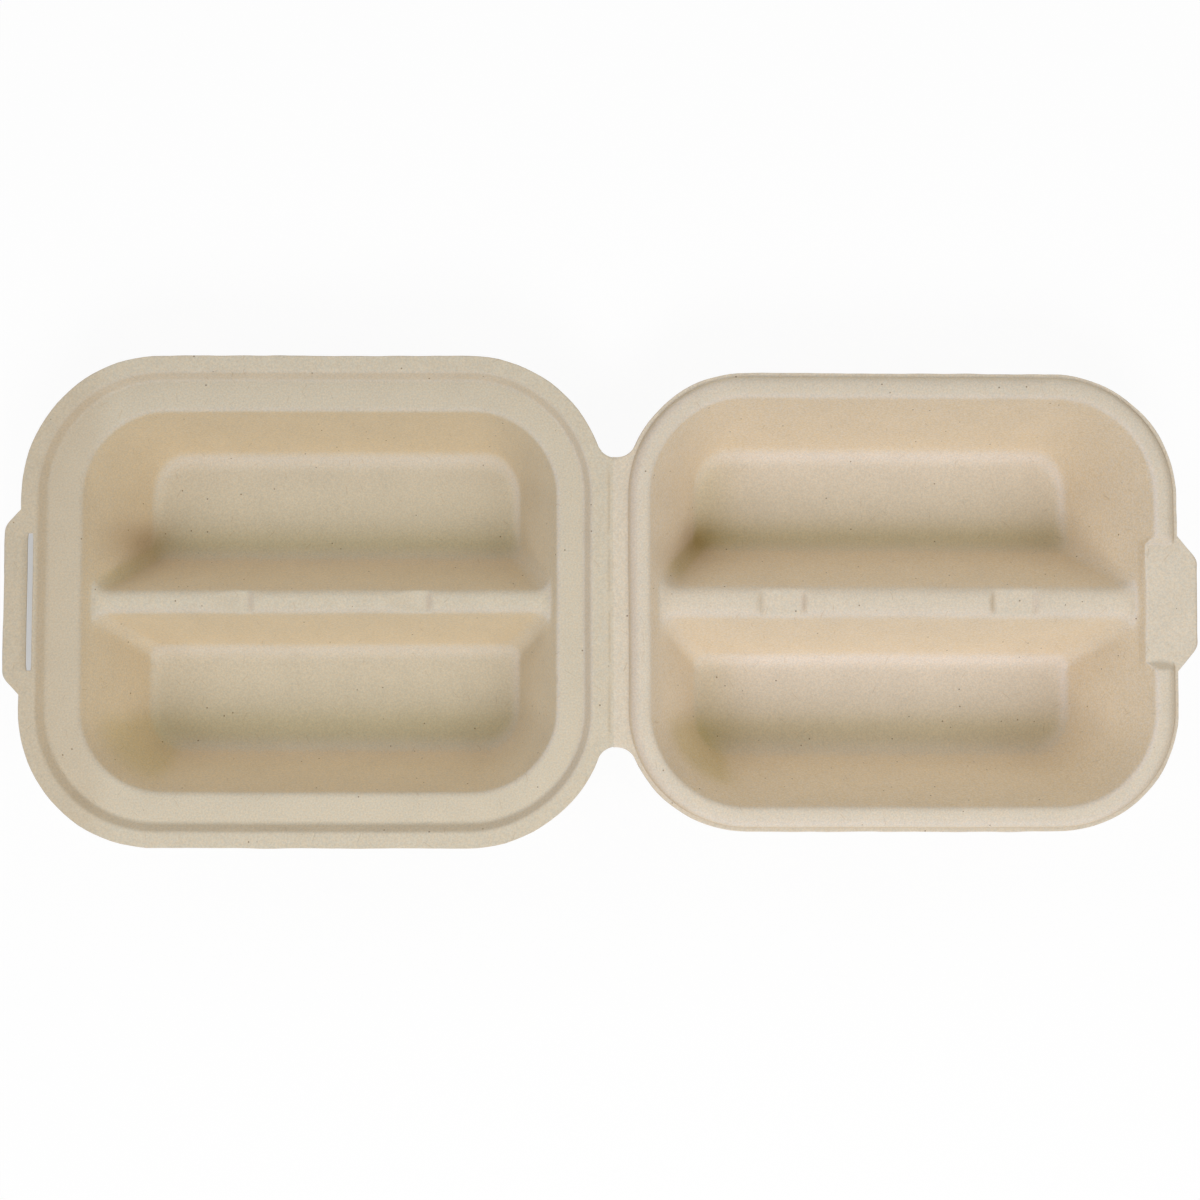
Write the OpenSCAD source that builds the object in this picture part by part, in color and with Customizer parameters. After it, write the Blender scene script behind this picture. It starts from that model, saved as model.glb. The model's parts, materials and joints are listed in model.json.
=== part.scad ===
// Taco clamshell of moulded plant fibre: a base tray and a lid, each with two troughs,
// folded from one sheet along a hinge line and shown open flat.
// Millimetres. +Z is up, the fold runs along Y, the base lies toward +X and the lid toward -X.

/* [Size] */
// Length of the base over its rim, from hinge side to latch side
base_length = 186; // [170:1:220]
// Width of the base over its rim
base_width = 154; // [148:1:180]
// Radius of the base's corners in plan
corner_radius = 41; // [36:0.5:44]
// Depth of each half, from the rim's sheet down to the underside of the troughs
half_depth = 38; // [32:0.5:46]
// Thickness of the moulded sheet
wall = 0.8; // [0.6:0.05:1.2]

/* [Base rim] */
// Flat lip outside the bead
rim_lip = 1.3; // [0.8:0.1:2.5]
// Width of the bead, from its foot to the top of the trough wall
bead_width = 7.6; // [7:0.1:9]
// Height of the bead above the lip
bead_height = 3.2; // [2.4:0.1:3.6]
// Rounding of the bead toward the trough
bead_shoulder = 3.5; // [2:0.1:4]

/* [Lid rim] */
// How far the lid's edge stands out past the base's edge
lid_overhang = 5.7; // [4.5:0.05:7]
// Flat band along the lid's edge
lid_band = 4.4; // [4:0.1:5.2]
// Slope of the step between the band and the flange
step_angle = 52; // [50:1:75]
// Rounding at the top and the foot of the step
step_round = 1.6; // [0.8:0.1:1.6]
// Flat flange between the step and the trough edge
lid_flange = 7.7; // [7:0.1:11]
// Rounding of the flange into the trough wall
flange_round = 2.4; // [1.5:0.1:3.5]
// How far the lid's troughs sit toward the hinge, off the middle of its rim
lid_trough_shift = 1; // [0:0.1:1.5]
// Room over the bead under the lid's flange, beyond the space that the fold leaves
seat_room = 0.1; // [0:0.05:0.6]

/* [Troughs] */
// Lean of the long outer walls from upright
draft = 20; // [15:0.5:22]
// Lean of the ridge's sides from upright
ridge_draft = 25; // [18:0.5:27]
// Lean of the troughs' end walls from upright
end_draft = 24; // [18:0.5:27]
// Rounding between the base's long walls and floors
base_floor_round = 5; // [4:0.5:9]
// Rounding between the lid's long walls and floors
lid_floor_round = 5; // [4:0.5:8]
// Rounding between the end walls and the floors
end_floor_round = 4; // [3:0.5:6]
// Plan radius of the floors' outer corners
floor_corner = 5; // [4:0.5:8]
// Plan radius of the corners where the ridge meets the end walls
ridge_corner = 5; // [3:0.5:6]

/* [Ridges] */
// Flat width on top of the base's ridge
base_crest = 1.5; // [1:0.5:5]
// Rounding beside the base's crest
base_crest_round = 5.75; // [4:0.25:6.5]
// Drop of the base's crest below the lip
base_crest_drop = 4; // [3:0.25:7]
// Flat width on top of the lid's ridge
lid_crest = 1.5; // [1:0.5:5]
// Rounding beside the lid's crest
lid_crest_round = 4; // [3:0.25:5]
// Drop of the lid's crest below the flange
lid_crest_drop = 5; // [4:0.25:8]

/* [Ridge seats] */
// Distance between the two seats on the base's ridge
base_seat_spacing = 79; // [60:1:84]
// Distance between the two seats on the lid's ridge
lid_seat_spacing = 61; // [44:1:76]
// Length of a seat along the ridge
seat_length = 13; // [11:0.5:16]
// Short slope at a seat's ends
seat_ramp = 1; // [0.6:0.1:2]
// Long slope that takes the place of the short one at the latch end of the lid's seats
lid_seat_slope = 9; // [4:0.5:10]
// Depth of the base's seats below the crest
base_seat_depth = 1.3; // [0.6:0.1:1.8]
// Depth of the lid's seats below the crest
lid_seat_depth = 1.4; // [0.6:0.1:1.8]

/* [Hinge] */
// Sheet between the fold and the lid's edge
hinge_web = 0.25; // [0.2:0.05:3]
// Radius of the round cut at each end of the hinge
hinge_cut = 7; // [4:0.5:10]
// Width of the scored line between the two halves
fold_gap = 0.2; // [0.1:0.02:0.3]

/* [Latch] */
// Width of the base's tab at its root
tab_width = 45.6; // [36:0.2:50]
// How far the tab reaches past the base's edge
tab_reach = 6.6; // [5:0.2:9]
// How much each side of the tab tapers to its tip
tab_taper = 7.8; // [5:0.2:10]
// Length of bead that runs out at each side of the tab
bead_runout = 3.4; // [2:0.2:5]
// Room for the tab at each end of the lid's slot
slot_clearance = 0.5; // [0.3:0.1:1.5]
// Width of the slot
slot_width = 1.5; // [1.2:0.1:2]
// Sheet between the slot and the step
slot_land = 0.3; // [0.1:0.05:0.4]
// Sheet beside each end of the slot on the lid's latch flap
flap_side = 7.9; // [5:0.1:8.5]
// How much each side of the flap tapers to its tip
flap_taper = 5.7; // [3:0.1:7]
// How far the flap reaches past the lid's edge
flap_reach = 5.4; // [3:0.2:8]
// Half the length of the rounding at a tab's tip corner
tip_round = 2; // [1:0.25:3]

/* [Hidden] */
base = 0;
top = 1;
// facets: plan corners, ridge corners, floor rounding, rim and crest rounding
corner_steps = 7;
ridge_steps = 4;
floor_steps = 5;
round_steps = 4;
// plan outline of each half, [base, lid], in a frame whose u runs from the fold to the latch side
near_u = [hinge_web + lid_overhang, hinge_web];
far_u = [near_u[base] + base_length, hinge_web + base_length + 2 * lid_overhang];
plan_r = [corner_radius, corner_radius + lid_overhang];
corner_y = base_width / 2 - corner_radius;
mid_u = (near_u[base] + far_u[base]) / 2;
// latch
slot_length = tab_width + 2 * slot_clearance;
slot_u = far_u[top] - lid_band + slot_land + slot_width / 2;
root_y = [tab_width / 2, slot_length / 2 + flap_side];
tip_y = [root_y[base] - tab_taper, root_y[top] - flap_taper];
reach = [tab_reach, flap_reach];
// levels, with the sheet's upper face at the fold as zero
step_drop = bead_height + seat_room;
floor_z = wall - half_depth;
crest_z = [-base_crest_drop, -step_drop - lid_crest_drop];
crest_half = [base_crest / 2, lid_crest / 2];
crest_r = [base_crest_round, lid_crest_round];
floor_r = [base_floor_round, lid_floor_round];
seat_u = [base_seat_spacing / 2, lid_seat_spacing / 2];
seat_depth = [base_seat_depth, lid_seat_depth];
trough_shift = [0, lid_trough_shift];
join_y = [for (h = [base, top]) crest_half[h] + ridge_corner];
// round cut at the hinge's ends: it touches both halves' corner arcs
cut_ru = [for (h = [base, top]) plan_r[h] + hinge_cut];
centre_u = [for (h = [base, top]) near_u[h] + plan_r[h]];
cut_x = (pow(cut_ru[top], 2) - pow(cut_ru[base], 2) + pow(centre_u[base], 2) - pow(centre_u[top], 2))
    / (2 * (centre_u[base] + centre_u[top]));
cut_y = corner_y + sqrt(pow(cut_ru[base], 2) - pow(centre_u[base] - cut_x, 2));
cut_u = [cut_x, -cut_x];
cut_angle = [for (h = [base, top]) 180 - atan2(cut_y - corner_y, centre_u[h] - cut_u[h])];
// the open part's bounding box is centred over the origin
shift_x = (far_u[top] + flap_reach - far_u[base] - tab_reach) / 2;

// small helpers
function arc(c, r, a0, a1, n) = [for (i = [0:n]) let (a = a0 + (a1 - a0) * i / n) c + r * [cos(a), sin(a)]];
function mix(a, b, t) = a + (b - a) * t;
function ease(t) = let (s = min(1, max(0, t))) s * s * (3 - 2 * s);
function down(a, b) = let (d = (b - a) / norm(b - a)) [d.y, -d.x];

// A profile moved o to its under side, with mitred corners; its ends count as level.
function under(p, o) = [
    for (i = [0:len(p) - 1])
        let (a = i > 0 ? down(p[i - 1], p[i]) : [0, -1],
             b = i < len(p) - 1 ? down(p[i], p[i + 1]) : [0, -1])
        p[i] + o * (a + b) / (1 + a * b)
];

// Rim profiles as [inset from the edge, height]; k is 1 on the full bead and 0 across the tab,
// where the shoulder's points spread out evenly so that the under face keeps its order.
function bead_profile(k, lean) =
    let (crown = arc([rim_lip + bead_height, 0], bead_height, 180, 90, round_steps),
         shoulder = arc([rim_lip + bead_width - bead_shoulder * cos(lean), bead_height - bead_shoulder],
             bead_shoulder, 90, lean, round_steps))
    concat([[0, 0]],
        [for (p = crown) [p.x, p.y * k]],
        [for (i = [0:round_steps])
            [mix(mix(shoulder[0].x, shoulder[round_steps].x, i / round_steps), shoulder[i].x, k),
             shoulder[i].y * k]]);
step_run = (step_drop - 2 * step_round * (1 - cos(step_angle))) / tan(step_angle)
    + 2 * step_round * sin(step_angle);
rim_end = lid_band + step_run + lid_flange / 2;
function flange_profile(lean) = concat([[0, 0]],
    arc([lid_band, -step_round], step_round, 90, 90 - step_angle, 2),
    arc([lid_band + step_run, step_round - step_drop], step_round, 270 - step_angle, 270, 2),
    arc([lid_band + step_run + lid_flange, -step_drop - flange_round], flange_round, 90, lean, round_steps));
function rim_profile(h, k, lean) = h == base ? bead_profile(k, lean) : flange_profile(lean);
rim_count = [for (h = [base, top]) len(rim_profile(h, 1, draft))];

// The foot of a trough wall that leans from a point p and rounds into the floor by r.
function foot_profile(p, lean, r) =
    let (z = floor_z + r * (1 - sin(lean)))
    arc([p.x + (p.y - z) * tan(lean) + r * cos(lean), floor_z + r], r, 180 + lean, 270, floor_steps);
function crest_profile(h) =
    arc([crest_half[h], crest_z[h] - crest_r[h]], crest_r[h], 90, ridge_draft, round_steps);
function ridge_profile(h) =
    let (c = crest_profile(h)) concat(c, foot_profile(c[round_steps], ridge_draft, floor_r[h]));
// From the edge to the floor; e is 1 at an end wall and 0 at a long wall.
function side_profile(h, k, e) =
    let (lean = mix(draft, end_draft, e), rim = rim_profile(h, k, lean), full = rim_profile(h, 1, lean),
         p = full[len(full) - 1])
    concat(rim, [for (c = crest_profile(h)) [p.x + (p.y - c.y) * tan(lean), c.y]],
        foot_profile(p, lean, mix(floor_r[h], end_floor_round, e)));

// Stations round one half of a rim, from the ridge's latch end to its hinge end:
// [corner centre u, share of the way from the ridge to the corner, direction].
// Deeper down a trough the corners' centres move out by the tuck, and the radius shrinks by it.
function station_y(h) = h == base
    ? concat([join_y[h]], [for (i = [-1:1]) tip_y[h] + i * tip_round],
        [for (i = [0:round_steps]) root_y[h] - bead_runout * (1 - i / round_steps)])
    : concat([join_y[h]], [for (i = [-1:1]) tip_y[h] + i * tip_round], [root_y[h]]);
function stations(h) = concat(
    [for (y = station_y(h)) [far_u[h] - plan_r[h], (y - join_y[h]) / (corner_y - join_y[h]), 0]],
    [for (i = [0:corner_steps]) [far_u[h] - plan_r[h], 1, 90 * i / corner_steps]],
    [for (i = [0:corner_steps]) [centre_u[h], 1, 90 + 90 * i / corner_steps]],
    [[centre_u[h], 0, 180]]);
function place(h, s, inset, y0, tuck = 0) =
    let (r = plan_r[h] - inset - tuck,
         u = s[0] + (s[0] > mid_u ? tuck : -tuck) - (inset > rim_end ? trough_shift[h] : 0))
    [u + r * cos(s[2]), mix(y0, corner_y + tuck, s[1]) + r * sin(s[2])];
function bead_share(h, s) = h == top || s[2] > 0 ? 1
    : ease((mix(join_y[h], corner_y, s[1]) - root_y[h] + bead_runout) / bead_runout);

// The trimmed edge: latch tab or flap, plain rim, round hinge cut and fold.
function tongue(h, y) =
    let (slope = reach[h] / (root_y[h] - tip_y[h]), t = y - tip_y[h] + tip_round)
    t <= 0 ? reach[h]
    : t < 2 * tip_round ? reach[h] - slope * t * t / (4 * tip_round)
    : max(0, slope * (root_y[h] - y));
function edge(h, s) =
    let (p = place(h, s, 0, join_y[h]), a1 = cut_angle[h], dx = fold_gap / 2 - cut_u[h],
         from = a1 - 180, to = -180 + acos(-dx / hinge_cut))
    s[2] == 0 ? p + [tongue(h, p.y), 0]
    : s[2] <= a1 ? p
    : s[1] < 1 ? [fold_gap / 2, p.y]
    : let (a = mix(from, to, (s[2] - a1) / (180 - a1))) [cut_u[h], cut_y] + hinge_cut * [cos(a), sin(a)];

// Seats: 1 on a seat, 0 off it.
ridge_marks = [for (h = [base, top]) [
    for (c = [-1, 1], e = [-1, 1], k = [0, 1])
        let (out = (e < 0) == (k == 0), long = h == top && e > 0,
             past = out ? (long ? 0 : seat_ramp) : (long ? -lid_seat_slope : 0))
        [mid_u + c * seat_u[h] + e * (seat_length / 2 + past), out ? 0 : 1]
]];

// Points of one half's upper face (o = 0) or under face (o = wall). The rim rings come first,
// then the rings of the trough at +y, then their mirror images.
function mirrored(ps) = [for (p = ps) [p.x, -p.y, p.z]];
function half_points(h, o) =
    let (st = stations(h), n = len(st), k = rim_count[h],
         prof = [for (s = st) under(side_profile(h, bead_share(h, s), pow(cos(s[2]), 2)), o)],
         ridge = under(ridge_profile(h), o), rc = ridge_corner + o,
         near = near_u[h] - trough_shift[h], far = far_u[h] - trough_shift[h],
         level = side_profile(h, 1, 1), full = under(level, o),
         spare = plan_r[h] - level[len(level) - 1].x - floor_corner,
         rim = [for (i = [0:k]) [for (j = [0:n - 1])
             let (p = i == 0 ? edge(h, st[j]) : place(h, st[j], prof[j][i].x, join_y[h]))
             [p.x, p.y, prof[j][i].y]]],
         trough = [for (m = [0:len(ridge) - 1])
             let (e = ridge[m].x, rz = ridge[m].y, d = full[k + m].x, sz = full[k + m].y,
                  tuck = spare * (crest_z[h] - level[k + m].y) / (crest_z[h] - floor_z))
             concat(
                 m == 0 ? [] : [for (j = [0:n - 1])
                     let (p = place(h, st[j], prof[j][k + m].x, e + rc, tuck)) [p.x, p.y, prof[j][k + m].y]],
                 [for (i = [1:ridge_steps]) let (t = i / ridge_steps, a = 180 + 90 * t)
                     [near + d + rc * (1 + cos(a)), e + rc * (1 + sin(a)), mix(sz, rz, t)]],
                 [for (q = ridge_marks[h]) [q[0], e, min(rz, crest_z[h] - o - seat_depth[h] * q[1])]],
                 [for (i = [0:ridge_steps - 1]) let (t = i / ridge_steps, a = 270 + 90 * t)
                     [far - d - rc * (1 - cos(a)), e + rc * (1 + sin(a)), mix(rz, sz, t)]])])
    concat(
        [for (r = rim) each concat(r, [for (j = [n - 1:-1:0]) [r[j].x, -r[j].y, r[j].z]])],
        [for (r = trough) each r],
        [for (r = trough) each mirrored(r)]);

// Faces of the upper side as index lists, then the whole sheet as a closed skin.
function band(a, b) = [
    for (i = [0:len(a) - 1])
        let (j = (i + 1) % len(a))
        each [[b[i], b[j], a[j]], [b[i], a[j], a[i]]]
];
function run(from, n) = [for (i = [0:n - 1]) from + i];
function flip(f) = [for (i = [len(f) - 1:-1:0]) f[i]];
function turned(l, k) = [for (i = [0:len(l) - 1]) l[(i + k) % len(l)]];
function half_faces(h, count) =
    let (n = len(stations(h)), k = rim_count[h], v = 2 * ridge_steps + len(ridge_marks[h]),
         m = round_steps + floor_steps + 2, size = v + (m - 1) * (n + v),
         first = 2 * n * (k + 1), bend = len(station_y(h)) + round(corner_steps / 2),
         rings = [for (i = [0:k]) run(2 * n * i, 2 * n)],
         // loops of the +y trough and of its mirror image, which runs the other way round
         loops = [for (t = [0, 1]) [for (i = [0:m - 1])
             let (at = first + t * size + (i == 0 ? 0 : v + (i - 1) * (n + v)))
             i > 0 ? run(at, n + v)
             : concat(t == 0 ? run(2 * n * k, n) : [for (j = [0:n - 1]) first - 1 - j], run(at, v))]],
         crest = [for (t = [0, 1]) let (l = loops[t][0]) concat([for (j = [n - 1:n + v - 1]) l[j]], [l[0]])],
         upper = concat(
             [for (i = [0:k - 1]) each band(rings[i], rings[i + 1])],
             [for (i = [0:m - 2]) each band(loops[0][i], loops[0][i + 1])],
             [for (i = [0:m - 2]) for (f = band(loops[1][i], loops[1][i + 1])) flip(f)],
             [flip(turned(loops[0][m - 1], bend + 1)), turned(loops[1][m - 1], bend)],
             [for (j = [0:len(crest[0]) - 2]) each [
                 [crest[0][j], crest[0][j + 1], crest[1][j + 1]],
                 [crest[0][j], crest[1][j + 1], crest[1][j]]]]))
    concat(upper,
        [for (f = upper) flip([for (i = f) i + count])],
        band([for (i = rings[0]) i + count], rings[0]));

module half_shell(h) {
    upper = half_points(h, 0);
    points = concat(upper, half_points(h, wall));
    faces = half_faces(h, len(upper));
    polyhedron(
        points = h == base ? points : [for (p = points) [-p.x, p.y, p.z]],
        faces = h == base ? faces : [for (f = faces) flip(f)], convexity = 8);
}

// A through cut with faceted round ends, along Y.
module slot_cut(length, width, depth) {
    translate([0, 0, -depth])
        linear_extrude(2 * depth)
            for (s = [-1, 1])
                union() {
                    translate([0, s * (length - width) / 2]) circle(d = width, $fn = 12);
                    translate([-width / 2, s > 0 ? 0 : (width - length) / 2])
                        square([width, (length - width) / 2]);
                }
}

module base_tray() {
    color("#d3c8b4")
        translate([shift_x, 0, half_depth])
            half_shell(base);
}

module lid() {
    color("#cbc1ae")
        translate([shift_x, 0, half_depth])
            difference() {
                half_shell(top);
                translate([-slot_u, 0, 0]) slot_cut(slot_length, slot_width, 2 * wall);
            }
}

base_tray();
lid();
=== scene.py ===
import json
import math

import bpy
import numpy as np
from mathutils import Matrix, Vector, noise


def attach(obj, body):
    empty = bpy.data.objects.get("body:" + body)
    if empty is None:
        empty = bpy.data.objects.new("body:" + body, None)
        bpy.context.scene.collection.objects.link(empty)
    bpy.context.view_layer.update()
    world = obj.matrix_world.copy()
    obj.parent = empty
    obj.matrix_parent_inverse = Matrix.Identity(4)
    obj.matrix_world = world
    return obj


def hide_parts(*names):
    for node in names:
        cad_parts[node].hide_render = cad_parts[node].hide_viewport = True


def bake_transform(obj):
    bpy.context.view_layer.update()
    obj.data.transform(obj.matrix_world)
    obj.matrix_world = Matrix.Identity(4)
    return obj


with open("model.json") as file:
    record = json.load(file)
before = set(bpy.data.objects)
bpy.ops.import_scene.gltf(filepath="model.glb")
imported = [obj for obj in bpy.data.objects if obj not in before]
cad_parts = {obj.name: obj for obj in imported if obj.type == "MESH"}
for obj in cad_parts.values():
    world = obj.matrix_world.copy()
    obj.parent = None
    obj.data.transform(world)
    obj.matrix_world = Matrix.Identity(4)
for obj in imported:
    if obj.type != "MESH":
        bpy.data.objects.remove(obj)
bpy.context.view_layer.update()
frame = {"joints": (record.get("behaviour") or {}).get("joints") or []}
mm = 0.001
joint = frame["joints"][0]
foldX = joint["pos_m"][0] / mm  # the fold's place in the frame, millimetres
print("frame loaded, fold at x =", round(foldX, 3), "mm")


# camera and light

view = {
    "height": 470.0,        # lens above the rims' sheet, millimetres
    "across": 403.2,        # width of the picture at that sheet
    "left": 2.5,            # how far the picture's middle lies left of the fold
    "up": 0.7,              # and how far toward the far side
}
studio = {
    "sky": 0.15,
    # suns: strength, angular size in degrees, where from
    "suns": {
        "top": (0.14, 50.0, (0.0, 0.0, 1.0)),
        "near": (0.46, 20.0, (0.0, -0.669, 0.743)),
        "right": (0.44, 25.0, (0.664, -0.242, 0.707)),
        "left": (0.33, 25.0, (-0.664, -0.242, 0.707)),
        "farLeft": (0.77, 45.0, (-0.568, 0.676, 0.469)),
        "farRight": (0.55, 45.0, (0.568, 0.676, 0.469)),
    },
    # the key softbox stands at the near side
    "box": 2.70, "boxAt": (0.05, -0.55, 0.69), "boxSize": 0.38, "boxAim": (0.0, 0.0, 0.038),
}


def aimed(obj, at):
    obj.rotation_euler = (Vector(at) - obj.location).to_track_quat("-Z", "Y").to_euler()


def makeStudio():
    scene = bpy.context.scene
    scene.view_settings.view_transform = "Standard"
    camera = bpy.data.objects.new("camera", bpy.data.cameras.new("camera"))
    scene.collection.objects.link(camera)
    camera.data.sensor_fit = "HORIZONTAL"
    camera.data.angle = 2 * math.atan(view["across"] / 2 / view["height"])
    rimZ = joint["pos_m"][2] / mm
    camera.location = Vector((foldX - view["left"], view["up"], rimZ + view["height"])) * mm
    camera.data.clip_start = 0.01
    scene.camera = camera

    world = bpy.data.worlds.new("studio")
    world.use_nodes = True
    tree = world.node_tree
    sky = tree.nodes["Background"]
    sky.inputs["Color"].default_value = (1.0, 1.0, 1.0, 1.0)
    # white behind the floor to the camera, and a low even light on the part
    seen, level = tree.nodes.new("ShaderNodeLightPath"), tree.nodes.new("ShaderNodeMapRange")
    level.inputs["To Min"].default_value = studio["sky"]
    tree.links.new(seen.outputs["Is Camera Ray"], level.inputs["Value"])
    tree.links.new(level.outputs["Result"], sky.inputs["Strength"])
    scene.world = world

    for name, (strength, angle, origin) in studio["suns"].items():
        sun = bpy.data.objects.new(name, bpy.data.lights.new(name, "SUN"))
        sun.data.energy, sun.data.angle = strength, math.radians(angle)
        sun.location = origin
        aimed(sun, (0, 0, 0))
        scene.collection.objects.link(sun)
    box = bpy.data.objects.new("softbox", bpy.data.lights.new("softbox", "AREA"))
    box.data.energy, box.data.size = studio["box"], studio["boxSize"]
    box.location = studio["boxAt"]
    aimed(box, studio["boxAim"])
    scene.collection.objects.link(box)
    print("camera and light set")


# sizes of the moulded sheet, millimetres: the solids', with softer feet, bead, seats and tab

sheet = {
    "length": 186.0, "width": 154.0, "corner": 41.0, "depth": 38.0, "wall": 0.8, "edgeBulge": 0.22,
    "lip": 1.3, "bead": 7.6, "beadHeight": 3.2, "beadShoulder": 2.4, "beadFoot": 0.4, "beadRise": 5.0,
    "overhang": 5.7, "band": 4.4, "stepAngle": 52.0, "stepRound": 1.6, "flange": 7.7,
    "flangeRound": 2.4, "seatRoom": 0.1, "draft": 20.0, "ridgeCorner": 5.0, "troughShift": 1.0,
    "ridgeDraft": 25.0, "endDraft": 24.0, "endFloorRound": 5.0, "floorCorner": 9.0,
    "web": 0.25, "cut": 7.0, "strip": 2.0,   # strip: half the width of the bending fold
    "tab": 45.6, "tabInset": 1.8, "tabReach": 6.6, "tabTaper": 7.8, "runout": 3.4, "tipRound": 2.0,
    "slotRoom": 0.5, "slot": 1.5, "slotLand": 0.3,
    "flapSide": 7.9, "flapTaper": 5.7, "flapReach": 5.4,
    "seat": 13.0, "seatRamp": 1.8, "seatSlope": 9.0,
    "gridHalf": 49.0, "gridGap": 1.75, "gridLeast": 0.8,   # points along the ridge between the seats
}
cornerY = sheet["width"] / 2 - sheet["corner"]
floorZ = sheet["wall"] - sheet["depth"]
stepDrop = sheet["beadHeight"] + sheet["seatRoom"]
slotHalf = sheet["tab"] / 2 + sheet["slotRoom"]


def stepFoot():
    # inset at which the lid's step ends and its flange begins
    angle, r = math.radians(sheet["stepAngle"]), sheet["stepRound"]
    run = (stepDrop - 2 * r * (1 - math.cos(angle))) / math.tan(angle) + 2 * r * math.sin(angle)
    return sheet["band"] + run


stepEnd = stepFoot()


def halfSizes(name):
    base = name == "base"
    grow = 0.0 if base else sheet["overhang"]
    near = sheet["web"] + sheet["overhang"] - grow
    size = {
        "near": near, "far": near + sheet["length"] + 2 * grow, "radius": sheet["corner"] + grow,
        "crest": 0.75, "crestRound": 5.75 if base else 4.0,
        "crestZ": -4.0 if base else -stepDrop - 5.0, "floorRound": 8.0,
        "seatAt": 39.5 if base else 30.5, "seatDepth": 1.3 if base else 1.4,
        "seatSlope": 0.0 if base else sheet["seatSlope"],
        "shift": 0.0 if base else sheet["troughShift"],
        "root": sheet["tab"] / 2 if base else slotHalf + sheet["flapSide"],
        "reach": sheet["tabReach"] if base else sheet["flapReach"],
    }
    size["tip"] = size["root"] - (sheet["tabTaper"] if base else sheet["flapTaper"])
    size["joinY"] = size["crest"] + sheet["ridgeCorner"]
    size["mid"] = (size["near"] + size["far"]) / 2
    size["centre"] = size["near"] + size["radius"]
    return size


halves = {name: halfSizes(name) for name in ("base", "lid")}


def hingeCut():
    # the round cut at a hinge end touches both halves' corner arcs
    b, l = halves["base"], halves["lid"]
    rb, rl = b["radius"] + sheet["cut"], l["radius"] + sheet["cut"]
    x = (rl ** 2 - rb ** 2 + b["centre"] ** 2 - l["centre"] ** 2) / (2 * (b["centre"] + l["centre"]))
    return x, cornerY + math.sqrt(rb ** 2 - (b["centre"] - x) ** 2)


cutX, cutY = hingeCut()


def arc(cx, cz, r, a0, a1, n):
    a = np.radians(np.linspace(a0, a1, n + 1))
    return np.stack([cx + r * np.cos(a), cz + r * np.sin(a)], 1)


def ease(t):
    t = np.clip(t, 0, 1)
    return t * t * (3 - 2 * t)


def under(p, o):
    # a profile moved to its under side, mitred; its ends count as level
    d = np.diff(p, axis=0)
    d = d / np.linalg.norm(d, axis=1)[:, None]
    n = np.stack([d[:, 1], -d[:, 0]], 1)
    level = np.array([[0.0, -1.0]])
    a, b = np.vstack([level, n]), np.vstack([n, level])
    return p + o * (a + b) / (1 + (a * b).sum(1))[:, None]


# profiles across the sheet, as inset from the edge and height

def rimProfile(name, share, lean):
    if name == "base":
        h, foot, shoulder = sheet["beadHeight"], sheet["beadFoot"], sheet["beadShoulder"]
        start = 180 - math.degrees(math.asin(foot / h))
        inner = sheet["lip"] + sheet["bead"] - shoulder * math.cos(math.radians(lean))
        outer = arc(sheet["lip"] + h, 0, h, start, 90, 9)
        outer[:, 0] = sheet["lip"] + (outer[:, 0] - sheet["lip"]) * sheet["beadRise"] / h
        p = np.vstack([
            [[0, 0]],
            arc(sheet["lip"] - foot, foot, foot, -90, 0, 4)[:-1],
            outer,
            arc(inner, h - shoulder, shoulder, 90, lean, 9)])
        p[:, 1] *= share
        p[-9:, 0] += sheet["tabInset"] * (1 - share)
        return p
    r, slotIn = sheet["stepRound"], sheet["band"] - sheet["slotLand"]
    return np.vstack([
        [[0, 0], [slotIn - sheet["slot"], 0], [slotIn, 0]],
        arc(sheet["band"], -r, r, 90, 90 - sheet["stepAngle"], 4),
        arc(stepEnd, r - stepDrop, r, 270 - sheet["stepAngle"], 270, 4),
        [[stepEnd + sheet["flange"] * t, -stepDrop] for t in (0.25, 0.5, 0.75)],
        arc(stepEnd + sheet["flange"], -stepDrop - sheet["flangeRound"], sheet["flangeRound"], 90, lean, 7)])


def footProfile(p, lean, r):
    tilt = math.radians(lean)
    z = floorZ + r * (1 - math.sin(tilt))
    x = p[0] + (p[1] - z) * math.tan(tilt)
    wall = [[p[0] + (x - p[0]) * t, p[1] + (z - p[1]) * t] for t in np.linspace(0, 1, 10)[1:-1]]
    return np.vstack([wall, arc(x + r * math.cos(tilt), floorZ + r, r, 180 + lean, 270, 10)])


def crestProfile(size):
    r = size["crestRound"]
    return arc(size["crest"], size["crestZ"] - r, r, 90, sheet["ridgeDraft"], 7)


def ridgeProfile(size):
    c = crestProfile(size)
    return np.vstack([c, footProfile(c[-1], sheet["ridgeDraft"], size["floorRound"])])


def sideProfile(name, share, end):
    # end is 1 at an end wall and 0 at a long wall
    size = halves[name]
    lean = sheet["draft"] + (sheet["endDraft"] - sheet["draft"]) * end
    rim, full = rimProfile(name, share, lean), rimProfile(name, 1.0, lean)
    p = full[-1]
    slope = math.tan(math.radians(lean))
    levels = np.array([[p[0] + (p[1] - z) * slope, z] for z in crestProfile(size)[:, 1]])
    foot = size["floorRound"] + (sheet["endFloorRound"] - size["floorRound"]) * end
    return np.vstack([rim, levels, footProfile(levels[-1], lean, foot)]), len(rim)


# stations round one half of a rim: corner centre, share of the way to the corner, direction

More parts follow.
